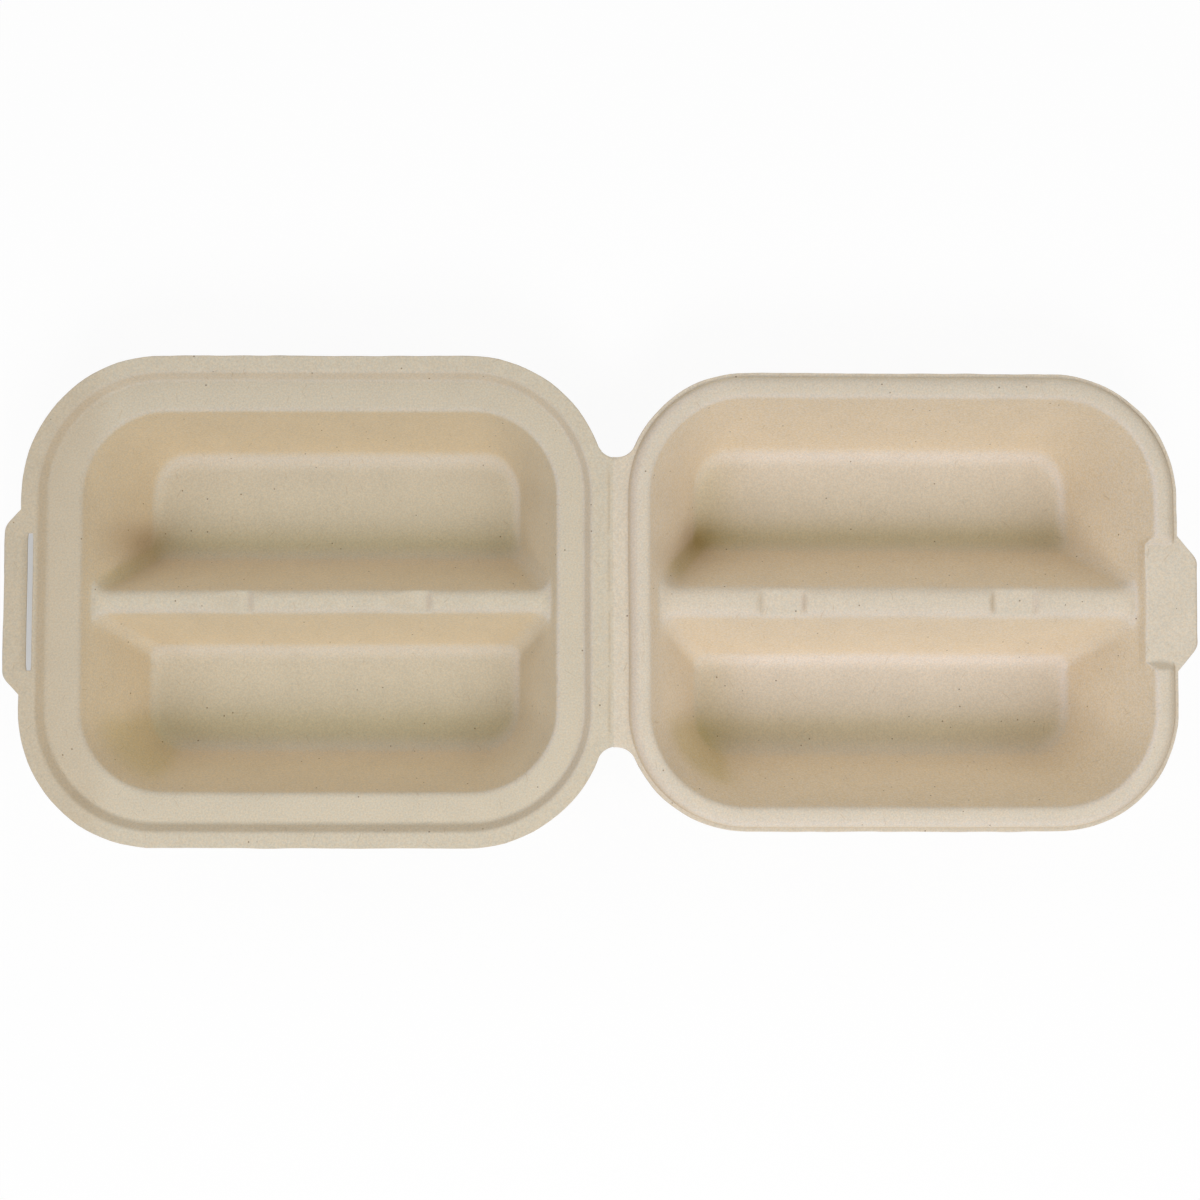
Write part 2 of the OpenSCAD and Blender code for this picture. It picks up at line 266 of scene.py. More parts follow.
def stations(name):
    s = halves[name]
    knots = [s["joinY"], s["tip"] - sheet["tipRound"], s["tip"] + sheet["tipRound"]]
    if name == "base":
        knots += [s["root"] - sheet["runout"], s["root"], cornerY]
        counts = (6, 6, 3, 10, 6)
    else:
        knots = [s["joinY"], slotHalf] + knots[1:] + [s["root"], cornerY]
        counts = (8, 1, 6, 4, 4)
    y = [np.linspace(a, b, n + 1)[:-1] for a, b, n in zip(knots, knots[1:], counts)]
    y = np.concatenate(y)
    front = s["far"] - s["radius"]
    share = (y - s["joinY"]) / (cornerY - s["joinY"])
    cutU = cutX if name == "base" else -cutX
    touch = 180 - math.degrees(math.atan2(cutY - cornerY, s["centre"] - cutU))
    rows = [np.stack([np.full(len(y), front), share, np.zeros(len(y))], 1)]
    a = np.linspace(0, 90, 25)
    rows.append(np.stack([np.full(len(a), front), np.ones(len(a)), a], 1))
    u = np.linspace(front, s["centre"], 40)[1:-1]
    rows.append(np.stack([u, np.ones(len(u)), np.full(len(u), 90.0)], 1))
    a = np.concatenate([np.linspace(90, touch, 18), np.linspace(touch, 180, 15)[1:]])
    rows.append(np.stack([np.full(len(a), s["centre"]), np.ones(len(a)), a], 1))
    t = np.linspace(1, 0, 15)[1:]
    rows.append(np.stack([np.full(len(t), s["centre"]), t, np.full(len(t), 180.0)], 1))
    return np.vstack(rows), touch


def place(size, st, inset, y0, tuck=0.0):
    # the tuck moves the corners' centres out and takes as much off their radius
    r = size["radius"] - inset - tuck
    a = np.radians(st[:, 2])
    front, back = size["far"] - size["radius"], size["centre"]
    u = st[:, 0] + tuck * (2 * (st[:, 0] - back) / (front - back) - 1)
    u = u - size["shift"] * np.clip((inset - stepEnd) / sheet["flange"], 0, 1)
    return np.stack([u + r * np.cos(a), y0 + (cornerY + tuck - y0) * st[:, 1] + r * np.sin(a)], 1)


def tongue(size, y):
    slope = size["reach"] / (size["root"] - size["tip"])
    t = y - size["tip"] + sheet["tipRound"]
    rounded = size["reach"] - slope * np.clip(t, 0, None) ** 2 / (4 * sheet["tipRound"])
    return np.where(t < 2 * sheet["tipRound"], rounded, np.clip(slope * (size["root"] - y), 0, None))


def trimmedEdge(name, st, touch):
    size = halves[name]
    p = place(size, st, 0.0, size["joinY"])
    front = st[:, 2] == 0
    p[front, 0] += tongue(size, p[front, 1])
    cutU = cutX if name == "base" else -cutX
    inCut = (st[:, 2] > touch) & (st[:, 1] == 1)
    a1 = -180 + math.degrees(math.acos(-(sheet["strip"] - cutU) / sheet["cut"]))
    a = np.radians(touch - 180 + (a1 - touch + 180) * (st[inCut, 2] - touch) / (180 - touch))
    p[inCut] = np.stack([cutU + sheet["cut"] * np.cos(a), cutY + sheet["cut"] * np.sin(a)], 1)
    onFold = (st[:, 2] == 180) & (st[:, 1] < 1)
    cutEnd = cutY + sheet["cut"] * math.sin(math.radians(a1))
    p[onFold, 0] = sheet["strip"]
    p[onFold, 1] = size["joinY"] + (cutEnd - size["joinY"]) * st[onFold, 1]
    return p, onFold | (inCut & (st[:, 2] == 180))


# one half as rings of points: rim rings all round, then loops of the trough at +y

rimSubs = {"base": (0.08, 0.3, 0.6), "lid": (0.06, 0.2, 0.5)}


def seatGrid(size):
    # places along the ridge, close together at the seats' ends, and how far each is let down
    half, ramp, slope = sheet["seat"] / 2, sheet["seatRamp"], size["seatSlope"]
    ends = [c * size["seatAt"] + e * half + k * ramp for c in (-1, 1) for e in (-1, 1)
            for k in (-1.4, -1.0, -0.5, 0.0, 0.5, 1.0, 1.4)]
    even = np.arange(-sheet["gridHalf"], sheet["gridHalf"] + 0.1, sheet["gridGap"])
    at = np.array([g for g in even if min(abs(g - e) for e in ends) > sheet["gridLeast"]])
    at = np.sort(np.concatenate([at, ends]))
    seat = np.zeros(len(at))
    for c in (-size["seatAt"], size["seatAt"]):
        rise = ease((at - c + half + ramp) / ramp)
        fall = ease((c + half + ramp - at) / ramp) if slope == 0 else np.clip((c + half - at) / slope, 0, 1)
        seat = np.maximum(seat, rise * fall)
    return size["mid"] + at, seat


def halfRings(name, o):
    size = halves[name]
    st, touch = stations(name)
    n = len(st)
    y = size["joinY"] + (cornerY - size["joinY"]) * st[:, 1]
    share = np.where((st[:, 2] == 0) & (name == "base"),
                     ease((y - size["root"] + sheet["runout"]) / sheet["runout"]), 1.0)
    level, k = sideProfile(name, 1.0, 1.0)
    ends = np.cos(np.radians(st[:, 2])) ** 2
    # by station, then by ring
    profiles = np.stack([under(sideProfile(name, s, e)[0], o) for s, e in zip(share, ends)])
    edge, onFold = trimmedEdge(name, st, touch)
    rim = []
    for i in range(k + 1):
        xy = edge if i == 0 else place(size, st, profiles[:, i, 0], size["joinY"])
        rim.append(np.column_stack([xy, profiles[:, i, 1]]))
        if i == 1:
            subs = [rim[0] + (rim[1] - rim[0]) * t for t in rimSubs[name]]
            rim[1:1] = subs
    ridge, full = under(ridgeProfile(size), o), under(level, o)
    spare = size["radius"] - level[-1, 0] - sheet["floorCorner"]
    corner = sheet["ridgeCorner"] + o
    grid, seat = seatGrid(size)
    loops = []
    turn = np.radians(np.linspace(0, 90, 9))
    for m in range(len(ridge)):
        e, rz = ridge[m]
        d, sz = full[k + m]
        parts = []
        if m > 0:
            tuck = spare * (size["crestZ"] - level[k + m, 1]) / (size["crestZ"] - floorZ)
            xy = place(size, st, profiles[:, k + m, 0], e + corner, tuck)
            parts.append(np.column_stack([xy, profiles[:, k + m, 1]]))
        t = turn[1:]
        hingeEnd = size["near"] - size["shift"] + d + corner
        frontEnd = size["far"] - size["shift"] - d - corner
        parts.append(np.column_stack([hingeEnd - corner * np.cos(t), e + corner * (1 - np.sin(t)),
                                      sz + (rz - sz) * t / (math.pi / 2)]))
        lead = np.linspace(hingeEnd, grid[0], 8)[1:-1]
        tail = np.linspace(grid[-1], frontEnd, 8)[1:-1]
        parts.append(np.column_stack([lead, np.full(6, e), np.full(6, rz)]))
        z = np.minimum(rz, size["crestZ"] - o - size["seatDepth"] * seat)
        parts.append(np.column_stack([grid, np.full(len(grid), e), z]))
        parts.append(np.column_stack([tail, np.full(6, e), np.full(6, rz)]))
        t = turn[:-1]
        parts.append(np.column_stack([frontEnd + corner * np.sin(t), e + corner * (1 - np.cos(t)),
                                      rz + (sz - rz) * t / (math.pi / 2)]))
        loops.append(np.vstack(parts))
    # the floor closes in rings on its own middle line
    last = loops[-1]
    midY = (last[:, 1].min() + last[:, 1].max()) / 2
    reach = (last[:, 1].max() - last[:, 1].min()) / 2
    line = np.column_stack([np.clip(last[:, 0], last[:, 0].min() + reach, last[:, 0].max() - reach),
                            np.full(len(last), midY), last[:, 2]])
    for t in (0.12, 0.3, 0.5, 0.7, 0.88):
        loops.append(last + (line - last) * t)
    return rim, loops, n, onFold, y, share


def bandFaces(a, b):
    a2, b2 = np.roll(a, -1), np.roll(b, -1)
    return np.stack([a, a2, b2, b], 1)


# painted shade in the crease at the bead's foot: its rings, and where it is strong, at the tab end and the
# near side
beadFootShade = {
    "rings": {4: 0.2, 5: 0.55, 6: 0.9, 7: 1.0, 8: 0.8, 9: 0.3},
    "least": 0.15, "most": 1.25, "nearShare": 0.5,
    "endSpan": 30.0, "endFade": 25.0, "nearFrom": 50.0, "nearFade": 20.0,
}
slotStations = 9  # stations of the front edge that the slot passes


def halfMesh(name):
    rim, loops, n, onFold, stationY, share = halfRings(name, 0.0)
    flip = np.array([1, -1, 1])
    v = len(loops[0])

    def points(rim, loops):
        rows = [np.vstack([r, r[::-1] * flip]) for r in rim]
        rows += loops + [l * flip for l in loops]
        return np.vstack(rows)

    top = points(rim, loops)
    lowRim, lowLoops = halfRings(name, sheet["wall"])[:2]
    count = len(top)
    pts = np.vstack([top, points(lowRim, lowLoops)])
    rings = [np.arange(2 * n) + 2 * n * i for i in range(len(rim))]
    lengths = [len(l) for l in loops]
    starts = 2 * n * len(rim) + np.concatenate([[0], np.cumsum(lengths)])
    chains = []
    for side in (0, 1):
        shiftBy = side * int(starts[-1] - starts[0])
        outer = rings[-1][:n] if side == 0 else rings[-1][::-1][:n]
        chain = [np.concatenate([outer, np.arange(v) + starts[0] + shiftBy])]
        chain += [np.arange(m) + s + shiftBy for m, s in zip(lengths[1:], starts[1:])]
        chains.append(chain)
    quads = []
    slotRing = 2 + len(rimSubs["lid"]) - 1  # band of rings that holds the slot
    slotCells = np.zeros(2 * n, bool)
    for i in range(len(rings) - 1):
        faces = bandFaces(rings[i], rings[i + 1])
        if name == "lid" and i == slotRing:
            y = np.concatenate([stationY, -stationY[::-1]])
            onFront = np.concatenate([np.arange(n), np.arange(n)[::-1]]) < slotStations
            slotCells = onFront & np.roll(onFront, -1)
            slotCells &= (abs(y) <= slotHalf + 0.01) & (abs(np.roll(y, -1)) <= slotHalf + 0.01)
            faces = faces[~slotCells]
        quads.append(faces)
    for side, chain in enumerate(chains):
        for a, b in zip(chain, chain[1:]):
            faces = bandFaces(a, b)
            quads.append(faces if side == 0 else faces[:, ::-1])
    crest = [np.concatenate([c[0][n - 1:], c[0][:1]]) for c in chains]
    quads.append(np.stack([crest[0][1:], crest[0][:-1], crest[1][:-1], crest[1][1:]], 1))
    upper = np.vstack(quads)
    floors = [list(map(int, chains[0][-1])), list(map(int, chains[1][-1][::-1]))]
    faces = [list(map(int, f)) for f in upper] + floors
    faces += [[i + count for i in reversed(f)] for f in faces]
    # the trimmed edge, left open along the fold; a ring of points rounds it
    fold = np.concatenate([onFold, onFold[::-1]])
    ring = rings[0]
    outward = top[ring] - top[rings[1]]
    outward[:, 2] = 0
    outward /= np.maximum(np.linalg.norm(outward, axis=1), 1e-9)[:, None]
    bulge = (top[ring] + pts[ring + count]) / 2 + outward * sheet["edgeBulge"]
    edgeStart = len(pts)
    pts = np.vstack([pts, bulge])
    for i in range(2 * n):
        j = (i + 1) % (2 * n)
        if not (fold[i] and fold[j]):
            a, b, c, d = ring[i], ring[j], edgeStart + i, edgeStart + j
            faces += [[int(b), int(a), int(c), int(d)], [int(d), int(c), int(a + count), int(b + count)]]
    if name == "lid":
        a, b = rings[slotRing], rings[slotRing + 1]
        for i in np.nonzero(slotCells)[0]:
            j = (i + 1) % (2 * n)
            faces.append([int(a[i]), int(a[j]), int(a[j] + count), int(a[i] + count)])
            faces.append([int(b[j]), int(b[i]), int(b[i] + count), int(b[j] + count)])
            if not slotCells[i - 1]:
                faces.append([int(b[i]), int(a[i]), int(a[i] + count), int(b[i] + count)])
            if not slotCells[j]:
                faces.append([int(a[j]), int(b[j]), int(b[j] + count), int(a[j] + count)])
    below = np.zeros(len(pts))
    below[count:edgeStart] = 1.0
    paintedShade = np.zeros(len(pts))
    # painted shade at the bead's foot
    if name == "base":
        marks = beadFootShade
        for i, depth in marks["rings"].items():
            paintedShade[rings[i]] = depth * np.concatenate([share, share[::-1]])
        end = ease((pts[:, 0] - halves[name]["far"] + marks["endSpan"]) / marks["endFade"])
        near = ease((-pts[:, 1] - marks["nearFrom"]) / marks["nearFade"])
        paintedShade *= marks["least"] + marks["most"] * np.maximum(end, marks["nearShare"] * near)
    free = np.ones(len(pts))
    free[ring] = free[ring + count] = 0.0
    free[edgeStart:] = 0.0
    trim = 1.0 - free
    trim[ring[fold]] = trim[ring[fold] + count] = 0.0
    return pts, faces, below, free, trim, paintedShade


def smoothed(pts, faces, weight, rounds):
    edges = np.array([(a, b) for f in faces for a, b in zip(f, f[1:] + f[:1])])
    edges = np.vstack([edges, edges[:, ::-1]])
    total = np.bincount(edges[:, 0], minlength=len(pts))[:, None]
    for _ in range(rounds):
        mean = np.stack([np.bincount(edges[:, 0], pts[edges[:, 1], k], len(pts)) for k in range(3)], 1)
        pts = pts + (mean / np.maximum(total, 1) - pts) * weight[:, None]
    return pts


settle = {
    "seed": 7,   # without it each run would draw another sheet
    "wave": 0.25, "waveSpan": 42.0, "lift": 0.10, "heightShare": 0.5,
    "trim": 0.22, "trimSpan": 7.0, "trimLayer": 3.0,
    # how far the latch ends have crept while drying: all along, more on one side, sideways, narrower
    "base": (-0.45, -0.55, -0.40, 0.006), "lid": (-0.10, -0.70, 0.0, 0.0), "skewSpan": 44.0,
}
noise.seed_set(settle["seed"])


def crept(pts, name):
    out, (along, skew, aside, narrow) = pts.copy(), settle[name]
    far = pts[:, 0] / halves[name]["far"]
    out[:, 0] += far * (along + skew * pts[:, 1] / settle["skewSpan"])
    out[:, 1] += far * (aside - narrow * pts[:, 1])
    return out


def settled(pts, trim):
    # gentle unevenness of the moulded sheet and of its trimmed edge
    out = pts.copy()
    for i, p in enumerate(pts):
        q = Vector((float(p[0]), float(p[1]), float(p[2]) * settle["heightShare"]))
        w = noise.noise_vector(q / settle["waveSpan"])
        out[i] += (settle["wave"] * w.x, settle["wave"] * w.y, settle["lift"] * w.z)
        if trim[i] > 0:
            e = noise.noise_vector(Vector((q.x, q.y, settle["trimLayer"])) / settle["trimSpan"])
            out[i, :2] += settle["trim"] * e.x, settle["trim"] * e.y
    return out


# painted shade and light in the troughs: painted shade at the near feet, on far-facing walls and in corners,
# painted highlight at the far feet and on rounded edges
shadeAndLightMarks = {
    "depth": 16.0, "fade": 14.0,              # height under which a surface counts as deep
    "wallTilt": 22.0, "wallFade": 56.0,       # tilt at which floors turn to walls, degrees
    "reach": 1.1, "bendAt": 0.68, "bendSpread": 0.33,   # the dark line, in half widths of a floor
    "endAt": 37.0, "endSpread": 11.0,         # the base's floors end there at the fold side
    "cornerTop": 32.0, "cornerFade": 12.0,
    "edgeTilt": 36.0, "edgeSpread": 20.0, "edgeLeast": 6.0, "edgeSide": 1.5,
    "footTilt": 8.0, "footFade": 25.0, "footTop": 15.0, "footRise": 10.0,
    "base": {"middle": 34.7, "half": 17.0, "floor": 0.12, "slope": 0.36, "bend": 0.60, "nearLift": 0.22,
             "edge": 0.35, "wall": 0.30, "foot": 0.10, "corner": 0.8, "end": 0.5},
    "lid": {"middle": 32.7, "half": 18.0, "floor": 0.24, "slope": 0.34, "bend": 0.50, "nearLift": 0.0,
            "edge": 0.35, "wall": 0.0, "foot": 0.40, "corner": 0.85, "end": 0.0},
}


def paintedShadeAndLight(name, pts, normals):
    m, h = shadeAndLightMarks, shadeAndLightMarks[name]
    deep = ease((m["depth"] - pts[:, 2]) / m["fade"])
    tilt = np.degrees(np.arccos(np.clip(normals[:, 2], -1, 1)))
    level = 1 - ease((tilt - m["wallTilt"]) / m["wallFade"])
    toward = (np.copysign(h["middle"], pts[:, 1]) - pts[:, 1]) / h["half"]
    toward = np.clip(toward, -m["reach"], m["reach"])
    tone = h["floor"] + h["slope"] * toward
    tone += h["bend"] * np.exp(-((toward - m["bendAt"]) / m["bendSpread"]) ** 2)
    tone += h["end"] * np.exp(-((pts[:, 0] - m["endAt"]) / m["endSpread"]) ** 2)
    # painted light: the near trough is paler
    tone -= h["nearLift"] * (pts[:, 1] < 0)
    # painted shade in corners that face the far side and +x
    east, north = np.maximum(normals[:, 0], 0), np.maximum(normals[:, 1], 0)
    corner = np.clip(4 * east * north, 0, 1) * ease((m["cornerTop"] - pts[:, 2]) / m["cornerFade"])
    # painted highlight on rounded edges that face the near side or the lid's end
    across = np.sin(np.radians(np.maximum(tilt, m["edgeLeast"])))
    edge = np.exp(-((tilt - m["edgeTilt"]) / m["edgeSpread"]) ** 2)
    edge *= np.maximum(-normals[:, 1], -m["edgeSide"] * normals[:, 0]).clip(0) / across
    # painted light at the feet of walls that face the far side
    foot = ease((tilt - m["footTilt"]) / m["footFade"]) * north / across
    foot *= h["foot"] * ease((m["footTop"] - pts[:, 2]) / m["footRise"])
    out = deep * level * tone + (1 - level) * h["wall"] * north - foot
    return out + h["corner"] * corner - h["edge"] * edge


# painted shade, brown: pockets in the far trough, the lid's left side and step, the bead's outward slopes at
# the base's ends, the seats' edges
shadeSpotMarks = {
    "pocketSpread": 7.0, "leftAt": 163.0, "leftFade": 12.0, "leftLow": 31.0, "leftRise": 4.0,
    "step": 0.75, "stepSpread": 1.2,
    "slope": 0.7, "slopeFrom": 0.15, "slopeFade": 0.4, "slopeLow": 33.0,
    "seat": 1.3, "seatMost": 0.6, "seatHalf": 7.0, "seatReach": 12.0, "seatLow": 20.0, "seatLean": 0.5,
    # pockets: across, toward the far side, how dark
    "base": {"pockets": ((34.0, 22.0, 1.7), (26.0, 15.0, 1.0)), "left": 0.0},
    "lid": {"pockets": ((-164.5, 22.5, 1.7), (-164.0, 14.5, 0.6)), "left": 0.50},
}


def paintedShadeSpots(name, pts, normals):
    m, size = shadeSpotMarks, halves[name]
    out = np.zeros(len(pts))
    for x, y, depth in m[name]["pockets"]:
        away = (pts[:, 0] - x) ** 2 + (pts[:, 1] - y) ** 2
        out += depth * np.exp(-(away / m["pocketSpread"] ** 2))
    left = ease((-pts[:, 0] - m["leftAt"]) / m["leftFade"])
    out += m[name]["left"] * left * ease((pts[:, 2] - m["leftLow"]) / m["leftRise"])
    # painted shade on the lid's step all round
    if name == "lid":
        midStep = sheet["depth"] - stepDrop / 2
        out += m["step"] * np.exp(-((pts[:, 2] - midStep) / m["stepSpread"]) ** 2)
    else:
        # painted shade on the bead's outward slopes at the base's ends
        outward = normals[:, 0] * np.sign(pts[:, 0] - foldX - size["mid"])
        out += m["slope"] * ease((outward - m["slopeFrom"]) / m["slopeFade"]) * (pts[:, 2] > m["slopeLow"])
    # painted shade at the seats' edges
    fromSeat = abs(abs(abs(pts[:, 0] - foldX) - size["mid"]) - size["seatAt"])
    onTop = (abs(pts[:, 1]) < m["seatHalf"]) & (abs(normals[:, 1]) < m["seatLean"])
    onTop &= (fromSeat < m["seatReach"]) & (pts[:, 2] > m["seatLow"])
    return out + np.where(onTop, np.clip(m["seat"] * abs(normals[:, 0]), 0, m["seatMost"]), 0)


leanMarks = {"from": 0.20, "fade": 0.45, "lidBack": 0.5}  # where a wall takes the steep colour


def sheetObject(name, pts, faces, below, paintedShade, half):
    mesh = bpy.data.meshes.new(name)
    mesh.from_pydata([tuple(p) for p in pts], [], faces)
    mesh.update()
    mesh.shade_smooth()
    obj = bpy.data.objects.new(name, mesh)
    bpy.context.scene.collection.objects.link(obj)
    normals = np.zeros(len(mesh.vertices) * 3)
    mesh.vertex_normals.foreach_get("vector", normals)
    normals = normals.reshape(-1, 3)
    # walls take the steep colour, painted light and shade: lighter and warmer on the base, tanner on the
    # lid; the lid's walls facing -x take less of it
    lean = ease((1 - abs(normals[:, 2]) - leanMarks["from"]) / leanMarks["fade"])
    if half == "lid":
        lean *= 1 - leanMarks["lidBack"] * np.maximum(-normals[:, 0], 0)
    # painted shade and painted highlight in the troughs, on the upper face
    shadeAndLight = paintedShadeAndLight(half, pts / mm, normals) * (1 - below)
    # painted shade spots are added to the bead's and the fold's painted shade
    paintedShade = paintedShade + paintedShadeSpots(half, pts / mm, normals) * (1 - below)
    for key, values in (("lean", lean), ("below", below), ("paintedShade", paintedShade), ("shadeAndLight", shadeAndLight)):
        attribute = mesh.attributes.new(key, "FLOAT", "POINT")
        attribute.data.foreach_set("value", values.astype(np.float32))
    return obj


def inFrame(pts, name):
    side = 1.0 if name == "base" else -1.0
    out = pts * (side, 1.0, 1.0)
    out[:, 0] += foldX
    out[:, 2] += sheet["depth"]
    return out


# soft inner corners where the ridge runs into the end walls, and beside the tab
ridgeSoft = {
    "half": 13.0, "halfFade": 5.0, "reach": 24.0, "reachFade": 8.0,
    "start": {"base": 6.0, "lid": 16.0}, "startFade": 3.0,
    "pull": 0.5, "rounds": 14, "allPull": 0.25, "allRounds": 2,
}


def makeHalf(name, pieceName):
    size = halves[name]
    pts, faces, below, free, trim, paintedShade = halfMesh(name)
    soft = ridgeSoft
    nearEnd = np.minimum(pts[:, 0] - size["near"], size["far"] - pts[:, 0])
    onRidge = ease((soft["half"] - abs(pts[:, 1])) / soft["halfFade"])
    onRidge *= ease((soft["reach"] - nearEnd) / soft["reachFade"])
    onRidge *= ease((nearEnd - soft["start"][name]) / soft["startFade"])
    pts = smoothed(pts, faces, free * soft["pull"] * onRidge, soft["rounds"])
    pts = smoothed(pts, faces, free * soft["allPull"], soft["allRounds"])
    pts = settled(inFrame(crept(pts, name), name), trim)
    if name == "lid":
        faces = [f[::-1] for f in faces]
    obj = sheetObject(pieceName, pts * mm, faces, below, paintedShade, name)
    print(pieceName, len(pts), "points", len(faces), "faces")
    return obj


# the fold: the strip between the halves, where the sheet bends, built here flat

foldMarks = {
    "columns": 32, "rows": 150, "at": 0.6, "valley": 0.15, "valleyWidth": 0.5, "unpressed": 0.35,
    "roll": 0.10, "rollAt": -0.7, "rollWidth": 0.6, "sideFade": 0.8, "under": 0.6,
    "dark": 0.15, "darkPressed": 0.55, "dashFade": 2.0,
    "dashes": ((43.7, 24.0), (18.5, 3.5), (-3.4, -20.0), (-27.0, -44.0)),  # pressed parts of the score
}


def makeFold():
    x = np.linspace(-sheet["strip"], sheet["strip"], foldMarks["columns"] + 1)
    end = cutY - np.sqrt(sheet["cut"] ** 2 - (x - cutX) ** 2)
    rows = np.linspace(-1, 1, foldMarks["rows"] + 1)
    gx, gy = np.meshgrid(x, rows)
    gy = gy * end[None, :]
    fade, plain = foldMarks["dashFade"], foldMarks["unpressed"]
    pressed = sum(ease((b - gy) / fade + 0.5) * ease((gy - a) / fade + 0.5)
                  for b, a in foldMarks["dashes"])
    line = np.exp(-((gx - foldMarks["at"]) / foldMarks["valleyWidth"]) ** 2)
    inside = ease((sheet["strip"] - abs(gx)) / foldMarks["sideFade"])
    dip = foldMarks["valley"] * line * (plain + (1 - plain) * pressed)
    rise = foldMarks["roll"] * np.exp(-((gx - foldMarks["rollAt"]) / foldMarks["rollWidth"]) ** 2) * inside
    top = np.stack([gx.ravel(), gy.ravel(), (rise - dip).ravel()], 1)
    low = np.stack([gx.ravel(), gy.ravel(), -sheet["wall"] - foldMarks["under"] * dip.ravel()], 1)
    w, n = len(x), len(top)
    pts = np.vstack([top, low])
    faces = []
    for r in range(len(rows) - 1):
        for c in range(w - 1):
            a = r * w + c
            faces.append([a, a + 1, a + w + 1, a + w])
            faces.append([n + a + w, n + a + w + 1, n + a + 1, n + a])
    for c in range(w - 1):
        a, b = c, (len(rows) - 1) * w + c
        faces.append([a + 1, a, n + a, n + a + 1])
        faces.append([b, b + 1, n + b + 1, n + b])
    below = np.concatenate([np.zeros(n), np.ones(n)])
    # painted shade along the score's valley, darker at its pressed dashes
    dark = line * (foldMarks["dark"] + foldMarks["darkPressed"] * pressed)
    paintedShade = np.concatenate([dark.ravel(), np.zeros(n)])
    pts = pts + (foldX, 0, sheet["depth"])
    pts = settled(pts, np.zeros(len(pts)))
    print("fold_strip", len(pts), "points", len(faces), "faces")
    return sheetObject("fold_strip", pts * mm, faces, below, paintedShade, "lid")


# shader maths: a socket that takes Python's operators

def isVector(value):
    return isinstance(value, tuple) or isinstance(value, Wire) and value.socket.type in ("VECTOR", "RGBA")


class Wire:
    def __init__(self, maker, socket):
        self.maker, self.socket = maker, socket

    def combine(self, operation, a, b=None):
        vectors = [isVector(a), isVector(b)]
        kind = "ShaderNodeVectorMath" if any(vectors) else "ShaderNodeMath"
        if operation == "MULTIPLY" and vectors[0] != vectors[1]:
            a, b = (a, b) if vectors[0] else (b, a)
            return self.maker.add(kind, {"operation": "SCALE"}, {0: a, "Scale": b})
        return self.maker.add(kind, {"operation": operation}, {0: a} if b is None else {0: a, 1: b})

    def __add__(self, other):
        return self.combine("ADD", self, other)

    def __radd__(self, other):
        return self.combine("ADD", other, self)

    def __sub__(self, other):
        return self.combine("SUBTRACT", self, other)

    def __rsub__(self, other):
        return self.combine("SUBTRACT", other, self)

    def __mul__(self, other):
        return self.combine("MULTIPLY", self, other)

    def __rmul__(self, other):
        return self.combine("MULTIPLY", other, self)

    def __abs__(self):
        return self.combine("ABSOLUTE", self)


class Finish:
    def __init__(self, name):
        self.material = bpy.data.materials.new(name)
        self.material.use_nodes = True
        self.tree = self.material.node_tree
        self.shader = self.tree.nodes["Principled BSDF"]

    def add(self, kind, settings=None, sockets=None, out=0):
        node = self.tree.nodes.new(kind)
        for key, value in (settings or {}).items():
            setattr(node, key, value)
        for key, value in (sockets or {}).items():
            self.feed(node.inputs[key], value)
        return Wire(self, node.outputs[out])

    def feed(self, socket, value):
        if isinstance(value, Wire):
            self.tree.links.new(value.socket, socket)
        else:
            socket.default_value = value

    def step(self, value, low, high):
        return self.add("ShaderNodeMapRange", {"interpolation_type": "SMOOTHSTEP"},
                        {"Value": value, "From Min": low, "From Max": high})

    def mix(self, amount, a, b):
        return self.add("ShaderNodeMix", {"data_type": "RGBA"}, {0: amount, 6: a, 7: b}, out=2)

    def noise(self, at, scale, detail, roughness=0.5):
        sockets = {"Vector": at, "Scale": scale, "Detail": detail, "Roughness": roughness}
        return self.add("ShaderNodeTexNoise", {}, sockets)

    def cells(self, at, scale):
        node = self.add("ShaderNodeTexVoronoi", {}, {"Vector": at, "Scale": scale}).socket.node
        return [Wire(self, node.outputs[k]) for k in ("Distance", "Color", "Position")]

    def parts(self, vector, names):
        node = self.add("ShaderNodeSeparateXYZ", {}, {0: vector}).socket.node
        return [Wire(self, node.outputs[k]) for k in names]


def fromPaint(r, g, b):
    # a colour as a picture shows it, 0 to 255, to the linear value the shader takes
    return tuple(((c / 255 + 0.055) / 1.055) ** 2.4 for c in (r, g, b)) + (1.0,)


fibre = {
    "warm": (214, 198, 172), "cool": (205, 199, 184), "speck": (112, 84, 56), "strand": (176, 148, 112),
    # the brown of painted shade, and how far it goes
    "paintedShade": (176, 152, 118), "paintedShadeShare": 0.4,
    "roughness": 0.9, "roughnessVary": 0.12, "specular": 0.25,
    # noise: how fine, and how strong
    "mottle": 95.0, "mottleDepth": 0.09, "grain": 1700.0, "grainDepth": 0.46,
    "tint": 1300.0, "tintShare": 0.45, "tintWarm": (0.42, 0.60), "tintCool": (0.56, 0.40),
    "coolLoss": 0.7, "wallTint": (0.16, 0.0, -0.42),   # on the walls
    # strands and specks: cells to the metre, sizes from clear to full, odds, strength
    "strandCells": 210.0, "strandHalf": (0.00013, 0.00004), "strandEnd": (0.42, 0.25),
    "strandOdds": (0.66, 0.70), "strandShare": 0.30,
    "speckCells": 330.0, "speckSize": (0.115, 0.07), "speckOdds": (0.86, 0.88), "speckShare": 0.75,
    # relief, metres; the screen's print is on the under side
    "bump": 0.35, "bumpDepth": 0.00035, "screen": 5200.0,
    "rise": {"grain": 0.6, "mottle": 0.7, "strand": 0.35, "screen": 0.25},
}
# one pulp, painted lighter on the base, where more light falls, and darker on the lid
litBaseFibre = dict(fibre, flat=(223, 210, 191), steep=(231, 214, 189), shadeAndLight=(0.86, 0.84, 0.68))
shadedLidFibre = dict(fibre, flat=(213, 202, 181), steep=(217, 198, 165), shadeAndLight=(0.93, 0.92, 0.78))


